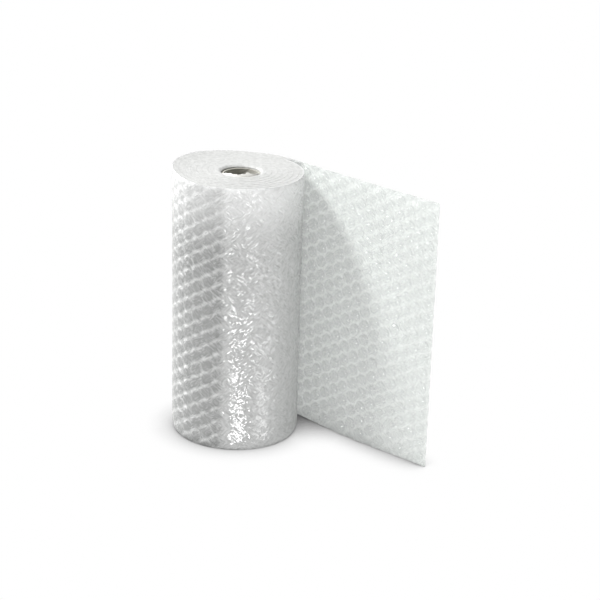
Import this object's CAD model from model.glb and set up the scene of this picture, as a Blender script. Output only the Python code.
"""Looks of a standing roll of air bubble film, with its free end drawn off as a flap.

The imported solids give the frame. The paperboard core keeps its solid and gets a finish. The film's
solid is replaced by the film itself: wound turns, outer turn, flap, bubbles and the tucked inner end.
"""
import math

import bpy
import numpy as np
from mathutils import Matrix, Vector


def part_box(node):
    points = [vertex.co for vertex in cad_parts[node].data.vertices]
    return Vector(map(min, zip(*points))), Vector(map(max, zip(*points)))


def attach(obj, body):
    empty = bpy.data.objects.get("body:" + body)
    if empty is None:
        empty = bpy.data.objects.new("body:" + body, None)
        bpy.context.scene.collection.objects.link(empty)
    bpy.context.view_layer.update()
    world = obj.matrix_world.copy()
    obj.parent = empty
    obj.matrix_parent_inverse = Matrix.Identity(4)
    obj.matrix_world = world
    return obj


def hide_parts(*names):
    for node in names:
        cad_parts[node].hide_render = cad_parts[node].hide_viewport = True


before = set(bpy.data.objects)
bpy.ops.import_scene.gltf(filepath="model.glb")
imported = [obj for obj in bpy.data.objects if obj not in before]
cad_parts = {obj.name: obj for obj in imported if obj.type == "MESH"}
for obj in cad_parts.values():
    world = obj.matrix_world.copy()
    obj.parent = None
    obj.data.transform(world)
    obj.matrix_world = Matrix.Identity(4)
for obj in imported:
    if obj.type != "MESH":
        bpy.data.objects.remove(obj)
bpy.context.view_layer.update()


# Core tube: a plain tube of grey paperboard, made of strips wound in a helix and glued.
# The film is wound straight onto it, and it ends a little below the film's upper edge.
BOARD_GREY = (0.52, 0.51, 0.46, 1)
BOARD_SEAM = (0.30, 0.29, 0.26, 1)
STRIP_LEAD = 0.16
SEAM_SHARE = 0.03
SEAM_DEPTH = 0.0006
SEAM_SHADE = 0.8
FIBRE_COUNT = 420.0
FIBRE_SHADE = 0.45
FIBRE_RISE = 0.4


def add_node(tree, kind, inputs=None, **settings):
    """One shader node. Inputs maps a socket to a value, or to the socket that feeds it."""
    node = tree.nodes.new(kind)
    for name, value in settings.items():
        setattr(node, name, value)
    for socket, value in (inputs or {}).items():
        if isinstance(value, bpy.types.NodeSocket):
            tree.links.new(value, node.inputs[socket])
        else:
            node.inputs[socket].default_value = value
    return node


def math_node(tree, operation, *values):
    """Result socket of one arithmetic node."""
    return add_node(tree, "ShaderNodeMath", dict(enumerate(values)), operation=operation).outputs[0]


def ramp_node(tree, value, start, end, low=0.0, high=1.0):
    """Result socket that eases from low, with the value at the start, to high, with it at the end."""
    inputs = {0: value, 1: start, 2: end, 3: low, 4: high}
    return add_node(tree, "ShaderNodeMapRange", inputs, interpolation_type="SMOOTHSTEP").outputs[0]


def blend_node(tree, factor, first, second):
    """Colour socket that goes from the first colour to the second with the factor."""
    return add_node(tree, "ShaderNodeMix", {0: factor, 6: first, 7: second}, data_type="RGBA").outputs[2]


def new_material(name, values, links):
    """Principled material: plain values on its sockets, and a function that makes its links."""
    material = bpy.data.materials.new(name)
    material.use_nodes = True
    tree = material.node_tree
    shader = tree.nodes["Principled BSDF"]
    for socket, value in values.items():
        shader.inputs[socket].default_value = value
    for socket, source in links(tree).items():
        tree.links.new(source, shader.inputs[socket])
    return material


def board_links(tree):
    """Board with a helical seam, where angle plus height over the strip's lead is a whole number."""
    place = add_node(tree, "ShaderNodeTexCoord").outputs["Object"]
    axes = add_node(tree, "ShaderNodeSeparateXYZ", {0: place}).outputs
    turn = math_node(tree, "DIVIDE", math_node(tree, "ARCTAN2", axes[1], axes[0]), 2 * math.pi)
    strips = math_node(tree, "ADD", turn, math_node(tree, "DIVIDE", axes[2], STRIP_LEAD))
    seam = ramp_node(tree, math_node(tree, "FRACT", strips), 0.0, SEAM_SHARE, 1.0, 0.0)
    noise = {"Vector": place, "Scale": FIBRE_COUNT, "Detail": 5.0}
    fibres = add_node(tree, "ShaderNodeTexNoise", noise).outputs[0]
    shade = math_node(tree, "MULTIPLY", fibres, FIBRE_SHADE)
    shade = math_node(tree, "MULTIPLY_ADD", seam, SEAM_SHADE, shade)
    height = math_node(tree, "SUBTRACT", math_node(tree, "MULTIPLY", fibres, FIBRE_RISE), seam)
    bump = add_node(tree, "ShaderNodeBump", {"Strength": 0.5, "Distance": SEAM_DEPTH, "Height": height})
    return {"Base Color": blend_node(tree, shade, BOARD_GREY, BOARD_SEAM), "Normal": bump.outputs[0]}


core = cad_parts["core_tube"]
core.data.materials.clear()
core.data.materials.append(new_material("greyboard", {"Roughness": 0.9}, board_links))


# Wound turns: the inner turns of the film, one web of a flat ply and a bubbled ply, wound flat side
# out. They show at the roll's two ends, as thin edges of web with the first bubbles between them.
web_height, flap_line, flap_reach = (float(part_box("bubble_film")[1][axis]) for axis in (2, 1, 0))
TURNS = 8
TURN_PITCH = 0.0118
WOUND_BORE = 0.0428
WEB_THICKNESS = 0.0008
BUBBLE_HEIGHT = 0.010
BUBBLE_RADIUS = 0.014
BUBBLE_PITCH = 0.032
BUBBLE_ROWS = 18
DOME_POWERS = (2.3, 0.55)
TURN_GAP = 0.00005
STATION = 0.003
SHARP_ANGLE = math.radians(50)
END_POINTS = 7
END_FROM = 0.10
END_SINK = 0.0004
END_PILLOW = 0.0001
LOW_PILLOW = 0.55
END_SLOPE = (0.0036, 0.005)
SLACK_SIDE = math.radians(205)
SLACK = 0.0085
FOOT_SLACK = 0.32
SLACK_RISE = 0.0105
RISE_FROM = 0.75
RIPPLE_COUNT = 110.0
END_RIPPLE = 0.0012
CLOUD_EDGE = (0.3, 0.7)
END_ROUGHNESS = 0.5
END_PALE = (0.625, 0.63, 0.62, 1)
END_GREY = (0.515, 0.52, 0.51, 1)
column_spacing = BUBBLE_PITCH * math.sqrt(3) / 2
first_row = (web_height - (BUBBLE_ROWS - 0.5) * BUBBLE_PITCH) / 2
half_radius = flap_line - TURNS * TURN_PITCH + TURN_PITCH / 4 + np.arange(2 * TURNS) * TURN_PITCH / 2
half_start = np.concatenate([[0], np.cumsum(np.pi * half_radius)])
wound_length = half_start[-1]
outer_start = half_start[-3]


def web_line(along):
    """Web's flat face in plan, that far along the web from its inner end, and the angle it faces.

    The roll is half circles about two centres a quarter pitch above and below the axis, each half a
    pitch larger than the last, wound clockwise from +Y. Past the last one the web runs on along +X.
    """
    half = np.clip(np.searchsorted(half_start, along, side="right") - 1, 0, 2 * TURNS - 1)
    wound = np.minimum(along, wound_length)
    angle = np.pi / 2 - np.pi * half - (wound - half_start[half]) / half_radius[half]
    point = half_radius[half][:, None] * np.stack([np.cos(angle), np.sin(angle)], -1)
    point[:, 0] += along - wound
    point[:, 1] += np.where(half % 2 == 0, -1, 1) * TURN_PITCH / 4
    return point, angle


def fade(value, start, end):
    """0 at the start and 1 at the end, easing in and out."""
    step = np.clip((value - start) / (end - start), 0, 1)
    return step * step * (3 - 2 * step)


def place_rings(along, depth, height):
    """Points that far along the web, that deep behind its flat face and at that height.

    The winding is slack on one side of the roll, where it stands out by the square of the cosine of
    the angle from there, more at the top than at the foot and more with the radius. Its upper edge
    stands up there too.
    """
    point, angle = web_line(along)
    normal = np.stack([np.cos(angle), np.sin(angle)], -1)[:, None]
    plan = point[:, None] - normal * depth[..., None]
    outer = np.linalg.norm(plan, axis=-1) / flap_line
    slack = np.maximum(np.cos(angle - SLACK_SIDE), 0)[:, None] ** 2 * outer**2
    share = FOOT_SLACK + (1 - FOOT_SLACK) * (height / web_height) ** 2
    plan = plan + normal * (SLACK * slack * share)[..., None]
    up = height + SLACK_RISE * slack * outer**2 * fade(height, RISE_FROM * web_height, web_height)
    return np.concatenate([plan, up[..., None]], -1)


def dome(distance):
    """Bubble's height over its foot, 1 at the crown: 1 less a power of the distance, to a second power."""
    crown, foot = DOME_POWERS
    return np.maximum(1 - np.minimum(distance, 1) ** crown, 0) ** foot


def end_profile(along):
    """Inner side of the web as depth and height, from the upper edge round to the lower edge.

    Behind the thin edge of the web the turn is filled a little below it, and the bubbles next to the
    edge swell up from that: each a pillow, round in plan where it meets the next turn. Next to the core
    the end slopes down to the core's rim.
    """
    reach = np.linspace(END_FROM, 1, END_POINTS)
    point = web_line(along)[0]
    to_core = np.hypot(point[:, 0], point[:, 1]) - WOUND_BORE
    full = np.where(along < half_start[2], to_core, TURN_PITCH - TURN_GAP)[:, None]
    depth = WEB_THICKNESS + (full - WEB_THICKNESS) * reach
    phase = (along[:, None] - wound_length) / column_spacing
    across = (phase - np.round(phase)) * column_spacing / BUBBLE_RADIUS
    pillow = dome(np.hypot(across, (depth - WEB_THICKNESS) / BUBBLE_HEIGHT))
    sink = END_SINK - END_PILLOW * pillow * np.where(np.mod(np.round(phase), 2) < 1, 1.0, LOW_PILLOW)
    drop, width = END_SLOPE
    sink = sink + drop * (1 - fade(to_core[:, None] - depth, 0, width))
    edge = np.full((len(along), 1), WEB_THICKNESS)
    depth = np.concatenate([edge, depth, depth[:, ::-1], edge], 1)
    below = np.concatenate([edge * 0, sink], 1)
    return depth, np.concatenate([web_height - below, below[:, ::-1]], 1)


def new_object(name, data):
    """Object in the scene, at the origin, with that mesh, lamp or camera."""
    item = bpy.data.objects.new(name, data)
    bpy.context.scene.collection.objects.link(item)
    return item


def loft(name, rings, along):
    """Closed mesh from rings of points, one ring a station: quads between rings and a cap at each end.

    The web map gives each corner its place on the unrolled web: along it from the flap's start, and up.
    """
    stations, points = rings.shape[:2]
    corner = np.arange(stations * points).reshape(stations, points)
    following = np.roll(corner, -1, axis=1)
    quads = np.stack([corner[:-1], following[:-1], following[1:], corner[1:]], -1).reshape(-1, 4)
    faces = quads.tolist() + [corner[0][::-1].tolist(), corner[-1].tolist()]
    mesh = bpy.data.meshes.new(name)
    mesh.from_pydata(rings.reshape(-1, 3).tolist(), [], faces)
    mesh.polygons.foreach_set("use_smooth", np.ones(len(faces), bool))
    mesh.set_sharp_from_angle(angle=SHARP_ANGLE)
    at = np.empty(len(mesh.loops), int)
    mesh.loops.foreach_get("vertex_index", at)
    web = np.stack([np.repeat(along - wound_length, points), rings[..., 2].ravel()], -1)
    mesh.uv_layers.new(name="web").data.foreach_set("uv", web[at].astype(np.float32).ravel())
    return new_object(name, mesh)


def ripple_group():
    """Node group whose output is a height: the slow, soft ripple of slack film."""
    group = bpy.data.node_groups.new("film_ripple", "ShaderNodeTree")
    group.interface.new_socket("Height", in_out="OUTPUT", socket_type="NodeSocketFloat")
    output = group.nodes.new("NodeGroupOutput")
    place = add_node(group, "ShaderNodeTexCoord").outputs["Object"]
    noise = {"Vector": place, "Scale": RIPPLE_COUNT, "Detail": 3.0, "Distortion": 0.6}
    ripple = add_node(group, "ShaderNodeTexNoise", noise)
    group.links.new(ripple.outputs[0], output.inputs[0])
    return group


film_ripple = ripple_group()


def ripple_normal(tree, depth):
    """Normal socket of film rippled to that depth."""
    height = add_node(tree, "ShaderNodeGroup", node_tree=film_ripple).outputs[0]
    bump = {"Strength": 1.0, "Distance": depth, "Height": height}
    return add_node(tree, "ShaderNodeBump", bump).outputs[0]


def end_colour(tree):
    """Colour socket of the film's ends: clouded, as light gets through the turns' edges unevenly."""
    cloud = add_node(tree, "ShaderNodeGroup", node_tree=film_ripple).outputs[0]
    return blend_node(tree, ramp_node(tree, cloud, *CLOUD_EDGE), END_GREY, END_PALE)


def end_links(tree):
    """Clouded, rippled film."""
    return {"Base Color": end_colour(tree), "Normal": ripple_normal(tree, END_RIPPLE)}


def film_piece(piece, material):
    """Dress a piece of the film and put it in the place of the film's solid."""
    piece.data.materials.append(material)
    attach(piece, "root")
    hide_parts("bubble_film")


inner_along = np.linspace(0, outer_start, int(outer_start / STATION))
depth, height = end_profile(inner_along)
face = np.zeros((len(inner_along), 2))
depth = np.concatenate([face, depth], 1)
height = np.concatenate([face + [0, web_height], height], 1)
wound_turns = loft("wound_turns", place_rings(inner_along, depth, height), inner_along)
wound_values = {"Roughness": END_ROUGHNESS, "Coat Weight": 0.4, "Coat Roughness": 0.2}
film_piece(wound_turns, new_material("wound_film", wound_values, end_links))


# Outer turn: the last full turn, whose flat ply is the roll's outside. Its film is drawn tight over
# the bubbles behind it on one side, so it is quilted by them there, and it is crinkled all over.
FACE_STATION = 0.0026
FACE_ROWS = 226
TIGHT_FROM = (0.375, 0.43)
QUILT = 0.0011
SWELLING_EDGE = (0.66, 1.16)
LOOSE_QUILT = 0.4
SLACK_EDGE, EDGE_LOSS = 0.11, 0.65
CRUMPLE, CRUMPLE_FALL = 0.0006, (1.15, 0.8)
LARGE_CREASE = 0.021
SMALL_CREASE, SMALL_SHARE = 0.0095, 0.45
SHOULDER, SHOULDER_IN = 0.012, 0.15
FOOT_SHOULDER, FOOT_IN = 0.026, 0.3
SHOULDER_END = 0.12
SHOULDER_ROUND = 0.96
FACET_COUNT = (130.0, 700.0, 130.0)
FACET_SLANT = 0.7
FACET_LIFT = (0.13, 0.01)
FACET_SPREAD = (0.12, 0.31)
TIGHT_SPREAD = 0.55
PATCH_COUNT = 62.0
FILM_ROUGHNESS = (0.08, 0.25)
GLOW_DEPTH, TIGHT_DEEPER = 0.14, 0.2
SLACK_GLOW, TIGHT_GLOW = 0.76, 0.42
EDGE_GLOW, EDGE_DEPTH = 0.5, 0.02
SIDE_GLOW, SIDE_POWER = 0.3, 6
ROLL_DISC = (0.26, 0.265, 0.26, 1)
ROLL_WEB = (0.57, 0.575, 0.57, 1)
ROLL_GLOW = (0.93, 0.935, 0.93, 1)
ROLL_SLACK = 0.98
ROLL_WEB_RAMP = (0.7, 1.15, 0.0, 0.26)
ROLL_ROW_RAMP = (0.45, 1.0, 0.0, 0.44)
SLACK_QUILT = 0.08
ROLL_STREAK = 0.7


def bubble_distance(along, height):
    """Distance from a place on the web to the nearest bubble's centre, in bubble radii.

    Columns stand a spacing apart along the web, counted from where the flap starts, with a bubble
    each pitch up the column and every second column half a pitch higher.
    """
    column = (along - wound_length) / column_spacing
    nearest = np.full(np.broadcast(along, height).shape, np.inf)
    for side in (0, 1):
        index = np.floor(column) + side
        lowest = first_row + np.mod(index + 1, 2) * BUBBLE_PITCH / 2
        row = np.round((height - lowest) / BUBBLE_PITCH)
        across = (column - index) * column_spacing
        nearest = np.minimum(nearest, np.hypot(across, height - lowest - row * BUBBLE_PITCH))
    return nearest / BUBBLE_RADIUS


def cells(along, height, size, seed):
    """Distance to the nearest of many scattered points, one in each square of that size, in sizes."""
    rows = int(web_height / size) + 4
    columns = int((wound_length + flap_reach) / size) + 4
    jitter = np.random.default_rng(seed).random((columns, rows, 2))
    across, up = along / size + 1, height / size + 1
    nearest = np.full(np.broadcast(along, height).shape, np.inf)
    for step in range(9):
        column, row = np.floor(across) + step // 3 - 1, np.floor(up) + step % 3 - 1
        spot = jitter[column.astype(int) % columns, row.astype(int) % rows]
        away = np.hypot(across - column - spot[..., 0], up - row - spot[..., 1])
        nearest = np.minimum(nearest, away)
    return nearest


def tightness(along):
    """How tight the film is drawn over the bubbles: 0 over the first third of the outer turn, then 1."""
    return fade((along - outer_start) / (wound_length - outer_start), *TIGHT_FROM)


def skin(along, height):
    """How far the flat ply stands out: a flat swelling over each bubble, less a crumple of cells.

    The swelling falls off at the bubble's edge, so neighbours meet in a valley, and it goes slack
    towards the upper edge and where the film isn't tight.
    """
    swelling = 1 - fade(bubble_distance(along, height), *SWELLING_EDGE)
    upper = fade(height, web_height - SLACK_EDGE, web_height)
    slack = (1 - EDGE_LOSS * upper) * (LOOSE_QUILT + (1 - LOOSE_QUILT) * tightness(along))
    creases = cells(along, height, LARGE_CREASE, seed=3)
    creases = creases + SMALL_SHARE * cells(along, height, SMALL_CREASE, seed=4)
    at_foot, fall = CRUMPLE_FALL
    crumple = CRUMPLE * (at_foot - fall * height / web_height)
    return QUILT * slack * (swelling - 0.5) - crumple * (creases - 0.6)


def shoulder(along, height):
    """How far the roll's soft ends turn in: a quarter round at each edge, gone where the flap starts."""
    low = height < web_height / 2
    size = np.where(low, FOOT_SHOULDER, SHOULDER)
    turn = np.clip(1 - np.minimum(height, web_height - height) / size, 0, 1)
    inward = np.where(low, FOOT_IN, SHOULDER_IN) * size
    rounded = 1 - np.sqrt(1 - SHOULDER_ROUND * turn**2)
    return inward * rounded * fade(wound_length - along, 0, SHOULDER_END)


def paint(piece, name, values):
    """Give the piece's points a named value each."""
    attribute = piece.data.attributes.new(name, "FLOAT", "POINT")
    attribute.data.foreach_set("value", values.astype(np.float32).ravel())


def painted(tree, name):
    """Value socket of what was painted under that name."""
    return add_node(tree, "ShaderNodeAttribute", attribute_name=name).outputs["Fac"]


def wrap_node(tree, value, start, half):
    """Result socket of the value less the start, wrapped to within half a cell of 0."""
    return math_node(tree, "WRAP", math_node(tree, "SUBTRACT", value, start), half, -half)


def lattice_group():
    """Node group of the bubbles' places, with three distances as outputs.

    The first is to the nearest bubble's centre, in bubble radii. The others are to the nearest row of
    bubbles that falls and that rises along the web, 0 on the row and 1 halfway to the next.
    The lattice is two grids of oblong cells, each two columns wide and a pitch high, half a cell apart.
    """
    group = bpy.data.node_groups.new("bubble_lattice", "ShaderNodeTree")
    for name in ("Distance", "Falling", "Rising"):
        group.interface.new_socket(name, in_out="OUTPUT", socket_type="NodeSocketFloat")
    output = group.nodes.new("NodeGroupOutput")
    place = add_node(group, "ShaderNodeUVMap", uv_map="web").outputs[0]
    axes = add_node(group, "ShaderNodeSeparateXYZ", {0: place}).outputs
    up = math_node(group, "SUBTRACT", axes[1], first_row)
    distances = []
    for aside, lift in ((0.0, BUBBLE_PITCH / 2), (column_spacing, 0.0)):
        across = wrap_node(group, axes[0], aside, column_spacing)
        above = wrap_node(group, up, lift, BUBBLE_PITCH / 2)
        offset = add_node(group, "ShaderNodeCombineXYZ", {0: across, 1: above}).outputs[0]
        length = add_node(group, "ShaderNodeVectorMath", {0: offset}, operation="LENGTH")
        distances.append(length.outputs["Value"])
    nearest = math_node(group, "DIVIDE", math_node(group, "MINIMUM", *distances), BUBBLE_RADIUS)
    group.links.new(nearest, output.inputs[0])
    for index, slope in ((1, math.sqrt(3)), (2, -math.sqrt(3))):
        slant = math_node(group, "MULTIPLY_ADD", up, slope, axes[0])
        row = math_node(group, "ABSOLUTE", wrap_node(group, slant, column_spacing, column_spacing))
        group.links.new(math_node(group, "DIVIDE", row, column_spacing), output.inputs[index])
    return group


bubble_lattice = lattice_group()


def cell_colour(tree, place, scale):
    """Colour socket with a random colour for each cell, that many cells to the unit."""
    return add_node(tree, "ShaderNodeTexVoronoi", {"Vector": place, "Scale": scale}).outputs["Color"]


def crinkle_group():
    """Node group of crinkled film: a normal, and a random number for each facet.

    The facets are flat, long, thin cells that slant one way or the other, and patches decide which way.
    Each is tipped aside and upward by two more random numbers, times the spread, on top of the lift.
    """
    group = bpy.data.node_groups.new("film_crinkle", "ShaderNodeTree")
    for name in ("Lift", "Spread"):
        group.interface.new_socket(name, in_out="INPUT", socket_type="NodeSocketFloat")
    group.interface.new_socket("Normal", in_out="OUTPUT", socket_type="NodeSocketVector")
    group.interface.new_socket("Random", in_out="OUTPUT", socket_type="NodeSocketFloat")
    lift, spread = group.nodes.new("NodeGroupInput").outputs[:2]
    output = group.nodes.new("NodeGroupOutput")
    place = add_node(group, "ShaderNodeUVMap", uv_map="web").outputs[0]
    slanted = []
    for slant in (FACET_SLANT, -FACET_SLANT):
        turn = {"Vector": place, "Angle": slant}
        turned = add_node(group, "ShaderNodeVectorRotate", turn, rotation_type="Z_AXIS").outputs[0]
        thin = {0: turned, 1: FACET_COUNT}
        thin = add_node(group, "ShaderNodeVectorMath", thin, operation="MULTIPLY").outputs[0]
        slanted.append(cell_colour(group, thin, 1.0))
    patch = add_node(group, "ShaderNodeSeparateColor", {0: cell_colour(group, place, PATCH_COUNT)})
    side = math_node(group, "GREATER_THAN", patch.outputs[0], 0.5)
    facet = add_node(group, "ShaderNodeSeparateColor", {0: blend_node(group, side, *slanted)}).outputs
    random = (math_node(group, "SUBTRACT", number, 0.5) for number in facet[:2])
    aside, rise = (math_node(group, "MULTIPLY_ADD", number, spread, 0.5) for number in random)
    tip = {0: aside, 1: math_node(group, "ADD", rise, lift), 2: 1.0}
    tipped = add_node(group, "ShaderNodeCombineColor", tip).outputs[0]
    normal = add_node(group, "ShaderNodeNormalMap", {"Strength": 1.0, "Color": tipped}, uv_map="web")
    group.links.new(normal.outputs[0], output.inputs[0])
    group.links.new(facet[2], output.inputs[1])
    return group


film_crinkle = crinkle_group()


def quilt_colour(tree, tight, streak):
    """Colour socket of film over bubbles, which goes from the disc's colour to the web's.

    Where the film is tight it is darker over each bubble and lighter between their slanting rows, and
    where it is slack it is nearly even. The streak, from -0.5 to 0.5, makes it lighter or darker.
    """
    distance, falling = add_node(tree, "ShaderNodeGroup", node_tree=bubble_lattice).outputs[:2]
    web = ramp_node(tree, distance, *ROLL_WEB_RAMP)
    between = ramp_node(tree, falling, *ROLL_ROW_RAMP)
    quilted = math_node(tree, "SUBTRACT", math_node(tree, "ADD", web, between), ROLL_SLACK)
    share = ramp_node(tree, tight, 0.0, 1.0, SLACK_QUILT, 1.0)
    shade = math_node(tree, "MULTIPLY_ADD", quilted, share, ROLL_SLACK)
    shade = math_node(tree, "MULTIPLY_ADD", streak, ROLL_STREAK, shade)
    return blend_node(tree, shade, ROLL_DISC, ROLL_WEB)


def roll_links(tree):
    """Quilted film, lighter and less glossy by the upper edge, with facets tipped up more near the foot.

    The turn's two ends have no facets, and look like those of the wound turns.
    """
    place = add_node(tree, "ShaderNodeUVMap", uv_map="web").outputs[0]
    height = add_node(tree, "ShaderNodeSeparateXYZ", {0: place}).outputs[1]
    glow, tight, end = (painted(tree, name) for name in ("glow", "tight", "end"))
    face = math_node(tree, "SUBTRACT", 1.0, end)
    lift = math_node(tree, "MULTIPLY", face, ramp_node(tree, height, 0.0, web_height, *FACET_LIFT))
    spread = math_node(tree, "MULTIPLY", face, ramp_node(tree, height, 0.0, web_height, *FACET_SPREAD))
    spread = math_node(tree, "MULTIPLY", spread, ramp_node(tree, tight, 0.0, 1.0, 1.0, TIGHT_SPREAD))
    tip = {"Lift": lift, "Spread": spread}
    crinkle = add_node(tree, "ShaderNodeGroup", tip, node_tree=film_crinkle).outputs
    colour = quilt_colour(tree, tight, math_node(tree, "SUBTRACT", crinkle[1], 0.5))
    colour = blend_node(tree, end, blend_node(tree, glow, colour, ROLL_GLOW), end_colour(tree))
    rough = ramp_node(tree, height, web_height / 2, web_height, *FILM_ROUGHNESS)
    rough = math_node(tree, "MAXIMUM", rough, math_node(tree, "MULTIPLY", end, END_ROUGHNESS))
    return {"Base Color": colour, "Normal": crinkle[0], "Roughness": rough}


face_height = np.linspace(0, web_height, FACE_ROWS)
outer_along = np.linspace(outer_start, wound_length, int((wound_length - outer_start) / FACE_STATION))
depth, height = end_profile(outer_along)
depth = np.concatenate([-skin(outer_along[:, None], face_height[None]), depth], 1)
height = np.concatenate([np.broadcast_to(face_height, (len(outer_along), FACE_ROWS)), height], 1)
depth = depth + shoulder(outer_along[:, None], height)
outer_turn = loft("outer_turn", place_rings(outer_along, depth, height), outer_along)
tight = np.broadcast_to(tightness(outer_along)[:, None], height.shape)
glow = fade(height, web_height - GLOW_DEPTH * (1 + TIGHT_DEEPER * tight), web_height)
glow = glow * (SLACK_GLOW + (TIGHT_GLOW - SLACK_GLOW) * tight)
glow = np.maximum(glow, EDGE_GLOW * fade(height, web_height - EDGE_DEPTH, web_height))
stands_off = np.maximum(np.cos(web_line(outer_along)[1] - SLACK_SIDE), 0)[:, None] ** SIDE_POWER
paint(outer_turn, "glow", glow + SIDE_GLOW * stands_off * (1 - glow))
paint(outer_turn, "end", np.broadcast_to(np.arange(height.shape[1]) > FACE_ROWS, height.shape))
paint(outer_turn, "tight", tight)
film_piece(outer_turn, new_material("roll_film", {"Specular IOR Level": 0.8}, roll_links))


# Flap: the free end of the same web, drawn straight off the roll, with its lower edge on the floor.
# It is one web thick, so it is clear enough to see through, and it bows a little low down.
FLAP_ROWS = 60
FLAP_BOW, BOW_FALL = 0.009, 0.8
FLAP_DISC = (0.70, 0.74, 0.715, 1)
FLAP_WEB = (0.895, 0.935, 0.905, 1)
FLAP_WEB_RAMP = (0.1, 1.15, 0.0, 0.45)
FLAP_ROW_RAMP = (0.3, 1.1, 0.0, 0.5)
FLAP_STREAK = 0.9
FLAP_SPREAD = 0.3
COVER_RAMP = (0.6, 1.1, 0.47, 0.44)
COVER_STREAK = 0.12
ROOT_FADE = (0.0, 0.035)
ROOT_END = (0.024, 0.05)
ROOT_GLOW, ROOT_DEEPER = 0.4, 1.2


def bow(along, height):
    """How far the flap stands in front of its plane: a half sine along it, squared, less with height."""
    run = np.clip((along - wound_length) / flap_reach, 0, 1)
    return FLAP_BOW * np.sin(np.pi * run) ** 2 * (1 - BOW_FALL * height / web_height)


def flap_links(tree):
    """Clear film, darker over each bubble and lighter between their slanting rows.

    At the root it has the roll's colour and covers what is behind it.
    """
    distance, _, rising = add_node(tree, "ShaderNodeGroup", node_tree=bubble_lattice).outputs
    glow, root = (painted(tree, name) for name in ("glow", "root"))
    tip = {"Lift": 0.0, "Spread": FLAP_SPREAD}
    crinkle = add_node(tree, "ShaderNodeGroup", tip, node_tree=film_crinkle).outputs
    streak = math_node(tree, "SUBTRACT", crinkle[1], 0.5)
    web = ramp_node(tree, distance, *FLAP_WEB_RAMP)
    shade = math_node(tree, "ADD", web, ramp_node(tree, rising, *FLAP_ROW_RAMP))
    shade = math_node(tree, "MULTIPLY_ADD", streak, FLAP_STREAK, shade)
    at_root = blend_node(tree, glow, quilt_colour(tree, 1.0, streak), ROLL_GLOW)
    colour = blend_node(tree, root, blend_node(tree, shade, FLAP_DISC, FLAP_WEB), at_root)
    cover = ramp_node(tree, distance, *COVER_RAMP)
    cover = math_node(tree, "MULTIPLY_ADD", streak, COVER_STREAK, cover)
    cover = math_node(tree, "MAXIMUM", cover, root)
    return {"Base Color": colour, "Normal": crinkle[0], "Alpha": cover}


flap_along = np.linspace(wound_length, wound_length + flap_reach, int(flap_reach / FACE_STATION))
run = flap_along - wound_length
root_fill = (TURN_PITCH - WEB_THICKNESS + run**2 / (2 * flap_line)) * (1 - fade(run, *ROOT_END))
back = np.broadcast_to(WEB_THICKNESS + root_fill[:, None], (len(flap_along), FLAP_ROWS))
depth = np.concatenate([-skin(flap_along[:, None], face_height[None]), back], 1)
height = np.concatenate([face_height, np.linspace(web_height, 0, FLAP_ROWS)])
height = np.broadcast_to(height, depth.shape)
depth = depth + bow(flap_along[:, None], height)
flap = loft("flap", place_rings(flap_along, depth, height), flap_along)
paint(flap, "root", np.broadcast_to(1 - fade(run, *ROOT_FADE)[:, None], depth.shape))
paint(flap, "glow", ROOT_GLOW * fade(height, web_height - ROOT_DEEPER * GLOW_DEPTH, web_height))
flap_values = {"Roughness": 0.35, "Coat Weight": 1.0, "Coat Roughness": 0.05}
film_piece(flap, new_material("flap_film", flap_values, flap_links))


# Bubbles on the flap: pockets of air under the second ply, drawn into a heated mould by vacuum and
# welded to the flat ply round their feet. No two are filled quite alike.
DOME_SIDES = 16
DOME_RINGS = 5
DOME_SHARP = math.radians(80)
RING_POWER = 0.8
SUNK_FOOT, SUNK_DEPTH = 0.97, 0.5 * WEB_THICKNESS
CROWN_WALL = 0.4
FULLNESS = (0.82, 1.0)
BUBBLE_COLOUR = (0.87, 0.91, 0.885, 1)
BUBBLE_COVER = (0.13, 0.185)
BUBBLE_RIPPLE = 0.002
columns = int((flap_reach - BUBBLE_RADIUS) / column_spacing)
grid = np.meshgrid(np.arange(1, columns + 1), np.arange(BUBBLE_ROWS), indexing="ij")
column, row = (index.ravel() for index in grid)
bubble_along = wound_length + column * column_spacing
bubble_up = first_row + (row + (column + 1) % 2 / 2) * BUBBLE_PITCH
fullness = np.random.default_rng(11).uniform(*FULLNESS, len(column))


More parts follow.
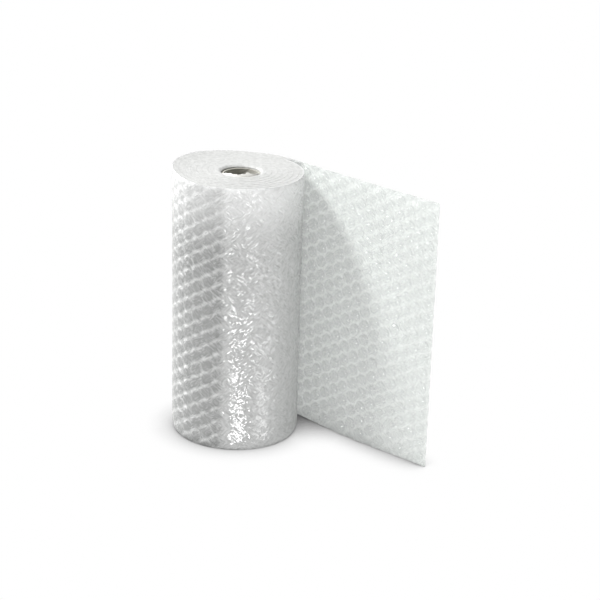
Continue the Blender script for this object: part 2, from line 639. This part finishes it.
def bubble_mesh():
    """All the bubbles as one mesh: rings from a foot sunk in the web up to the crown, and a foot disc.

    The wall value grows from the crown to the foot, and is 0 on the foot disc, which covers least.
    """
    ring = np.concatenate([[SUNK_FOOT], np.linspace(1, 0, DOME_RINGS)[:-1] ** RING_POWER])
    sunk = np.concatenate([[-SUNK_DEPTH], np.zeros(DOME_RINGS - 1)])
    turn = np.concatenate([np.tile(np.arange(DOME_SIDES) * 2 * np.pi / DOME_SIDES, DOME_RINGS), [0]])
    radius = np.concatenate([np.repeat(ring, DOME_SIDES), [0]])
    foot = np.concatenate([np.repeat(sunk, DOME_SIDES), [0]])
    along = bubble_along[:, None] + BUBBLE_RADIUS * radius * np.cos(turn)
    up = bubble_up[:, None] + BUBBLE_RADIUS * radius * np.sin(turn)
    rise = np.where(foot < 0, foot, fullness[:, None] * BUBBLE_HEIGHT * dome(radius))
    point = np.stack([along - wound_length, flap_line - WEB_THICKNESS - rise - bow(along, up), up], -1)
    corner = np.arange(DOME_RINGS * DOME_SIDES).reshape(DOME_RINGS, DOME_SIDES)
    following = np.roll(corner, -1, axis=1)
    walls = np.stack([corner[:-1], following[:-1], following[1:], corner[1:]], -1).reshape(-1, 4)
    crown = np.stack([corner[-1], following[-1], np.full(DOME_SIDES, corner.size)], -1)
    first = np.arange(len(column)) * (corner.size + 1)
    faces = (first[:, None, None] + walls).reshape(-1, 4).tolist()
    faces += (first[:, None, None] + crown).reshape(-1, 3).tolist()
    faces += (first[:, None] + corner[0][::-1]).tolist()
    mesh = bpy.data.meshes.new("flap_bubbles")
    mesh.from_pydata(point.reshape(-1, 3).tolist(), [], faces)
    mesh.polygons.foreach_set("use_smooth", np.ones(len(faces), bool))
    mesh.set_sharp_from_angle(angle=DOME_SHARP)
    piece = new_object("flap_bubbles", mesh)
    wall = np.where(foot < 0, 0, CROWN_WALL + (1 - CROWN_WALL) * fade(radius, 0.5, 1))
    paint(piece, "wall", np.broadcast_to(wall, up.shape))
    return piece


def bubble_links(tree):
    """Clear film, rippled, that covers more by the foot of the dome, where it is seen edge on."""
    cover = ramp_node(tree, painted(tree, "wall"), 0.0, 1.0, *BUBBLE_COVER)
    return {"Alpha": cover, "Normal": ripple_normal(tree, BUBBLE_RIPPLE)}


flap_bubbles = bubble_mesh()
bubble_values = {"Base Color": BUBBLE_COLOUR, "Roughness": 0.12, "Specular IOR Level": 1.0,
                 "Coat Weight": 1.0, "Coat Roughness": 0.04, "Coat IOR": 2.0}
film_piece(flap_bubbles, new_material("bubble_film", bubble_values, bubble_links))


# Tucked inner end: the first few millimetres of the web, pushed up between core and film and folded
# in over the core's rim. It is a crumpled strip with one lump that stands out.
TUCK_STATIONS, TUCK_POINTS = 90, 7
TUCK_MIDDLE = math.radians(-44.5)
TUCK_HALF = math.radians(80)
TUCK_FOOT = 0.0425
TUCK_START = 0.0065
TUCK_RISE = 0.0095
TUCK_CURL = 0.0035
TUCK_THICKNESS, TUCK_BEVEL = 0.0007, 0.0002
RAGGED = ((0.0006, 7, 0), (0.0005, 19, 1), (0.0003, 43, 0))
TUCK_LUMP, LUMP_WIDTH = math.radians(25), math.radians(9)
LUMP_RISE, LUMP_CURL = 0.003, 0.004
TUCK_RIPPLE = 0.0008
TUCK_COLOUR = (0.84, 0.83, 0.79, 1)


def tuck_rings():
    """Rings of a thin strip round the core's rim: up from the film's bore, then curling in.

    Its edge rises and falls by a few sines of the angle, sinks to nothing at both ends, and rises most
    in a bell curve at the lump.
    """
    angle = np.linspace(-TUCK_HALF, TUCK_HALF, TUCK_STATIONS)
    ends = np.sqrt(np.maximum(1 - (angle / TUCK_HALF) ** 2, 0.02))
    ragged = sum(size * np.sin(count * angle + start) for size, count, start in RAGGED)
    lump = np.exp(-(((angle - TUCK_LUMP) / LUMP_WIDTH) ** 2))
    rise = (TUCK_RISE + ragged + LUMP_RISE * lump) * ends
    step = np.linspace(0, 1, TUCK_POINTS)
    curl = (TUCK_CURL + LUMP_CURL * lump + ragged)[:, None] * ends[:, None] * step**2
    radius = TUCK_FOOT - curl
    radius = np.concatenate([radius, radius[:, ::-1] - TUCK_THICKNESS], 1)
    up = web_height - TUCK_START + rise[:, None] * step
    up = np.concatenate([up, up[:, ::-1] - TUCK_BEVEL], 1)
    turn = (TUCK_MIDDLE + angle)[::-1, None]
    return np.stack([radius[::-1] * np.cos(turn), radius[::-1] * np.sin(turn), up[::-1]], -1)


def tuck_links(tree):
    """Rippled film."""
    return {"Normal": ripple_normal(tree, TUCK_RIPPLE)}


rings = tuck_rings()
inner_end = loft("inner_end", rings, np.linspace(0, 0.1, len(rings)))
tuck_values = {"Base Color": TUCK_COLOUR, "Roughness": 0.4, "Coat Weight": 0.6, "Coat Roughness": 0.1}
film_piece(inner_end, new_material("tucked_film", tuck_values, tuck_links))


# Floor: a wide white sheet that the roll stands on. It keeps the soft shadow at the foot of the roll
# and the flap, and is plain white further out, as the surround is.
FLOOR_HALF = 6.0
FLOOR_GREY = (0.50, 0.50, 0.50, 1)
SHADOW_REACH = 0.10
SHADOW_RAMP = (0.0, 0.9, 0.05, 1.0)


def seen_node(tree):
    """Socket that is 1 for rays that see a surface, straight, mirrored or through glass, else 0."""
    path = add_node(tree, "ShaderNodeLightPath").outputs
    mirrored = math_node(tree, "MAXIMUM", path["Is Glossy Ray"], path["Is Transmission Ray"])
    return math_node(tree, "MAXIMUM", path["Is Camera Ray"], mirrored)


def white_floor():
    """White where it is seen, less what the object hides of the surround. Matt grey to other rays."""
    material = bpy.data.materials.new("white_floor")
    material.use_nodes = True
    tree = material.node_tree
    shader = tree.nodes["Principled BSDF"]
    hidden = add_node(tree, "ShaderNodeAmbientOcclusion", {"Distance": SHADOW_REACH}, samples=8)
    strength = ramp_node(tree, hidden.outputs["AO"], *SHADOW_RAMP)
    white = add_node(tree, "ShaderNodeEmission", {0: (1, 1, 1, 1), 1: strength}).outputs[0]
    either = {0: seen_node(tree), 1: shader.outputs[0], 2: white}
    mixed = add_node(tree, "ShaderNodeMixShader", either).outputs[0]
    tree.links.new(mixed, tree.nodes["Material Output"].inputs[0])
    shader.inputs["Base Color"].default_value = FLOOR_GREY
    shader.inputs["Roughness"].default_value = 1.0
    shader.inputs["Specular IOR Level"].default_value = 0.0
    return material


floor_mesh = bpy.data.meshes.new("floor")
floor_corners = FLOOR_HALF * np.array([(-1, -1, 0), (1, -1, 0), (1, 1, 0), (-1, 1, 0)])
floor_mesh.from_pydata(floor_corners.tolist(), [], [(0, 1, 2, 3)])
floor_mesh.materials.append(white_floor())
floor = new_object("floor", floor_mesh)


# Light: a high lamp from the left throws the roll's shadow across the flap, a broad one lights the
# left edge, one fills the right side, and one in front makes the band of glints. The surround is white.
SURROUND = 0.16
LAMP_AIM = Vector((0.1, 0.05, web_height / 2))


def surround():
    """World that is plain white where it is seen or mirrored, and dimmer where it only lights."""
    world = bpy.data.worlds.new("surround")
    world.use_nodes = True
    tree = world.node_tree
    background = tree.nodes["Background"]
    background.inputs[0].default_value = (1, 1, 1, 1)
    tree.links.new(ramp_node(tree, seen_node(tree), 0.0, 1.0, SURROUND, 1.0), background.inputs[1])
    return world


def lamp(name, azimuth, elevation, distance, size, power):
    """Area lamp aimed at the roll's middle. Azimuth 0 is towards -Y and 90 towards +X."""
    data = bpy.data.lights.new(name, "AREA")
    data.shape, data.size, data.size_y, data.energy = "RECTANGLE", size[0], size[1], power
    light = new_object(name, data)
    turn, tilt = math.radians(azimuth), math.radians(elevation)
    back = Vector((math.sin(turn) * math.cos(tilt), -math.cos(turn) * math.cos(tilt), math.sin(tilt)))
    light.location = LAMP_AIM + back * distance
    light.rotation_euler = back.to_track_quat("Z", "Y").to_euler()


bpy.context.scene.world = surround()
lamp("key", -42, 57, 3.0, (0.5, 0.5), 98)
lamp("edge", -76, 8, 3.0, (2.8, 2.8), 84)
lamp("fill", 90, 4, 2.0, (0.8, 0.8), 9)
lamp("front", 48, 0.0, 2.5, (0.5, 1.1), 30)


# Camera: a long lens, above and in front of the roll, with the flap going off to the right.
CAMERA_AZIMUTH = math.radians(45.46)
CAMERA_DISTANCE = 4.0514
CAMERA_HEIGHT = 1.8102
CAMERA_YAW, CAMERA_PITCH, CAMERA_ROLL = 0.0335, 0.3557, 0.0314
CAMERA_LENS = 117.15

camera = new_object("camera", bpy.data.cameras.new("camera"))
camera.data.lens = CAMERA_LENS
standing = Matrix.Translation((0, -CAMERA_DISTANCE, CAMERA_HEIGHT))
aimed = Matrix.Rotation(-CAMERA_YAW, 4, "Z") @ Matrix.Rotation(math.pi / 2 - CAMERA_PITCH, 4, "X")
around, rolled = (Matrix.Rotation(angle, 4, "Z") for angle in (CAMERA_AZIMUTH, CAMERA_ROLL))
camera.matrix_world = around @ standing @ aimed @ rolled
bpy.context.scene.camera = camera
bpy.context.scene.view_settings.view_transform = "Standard"
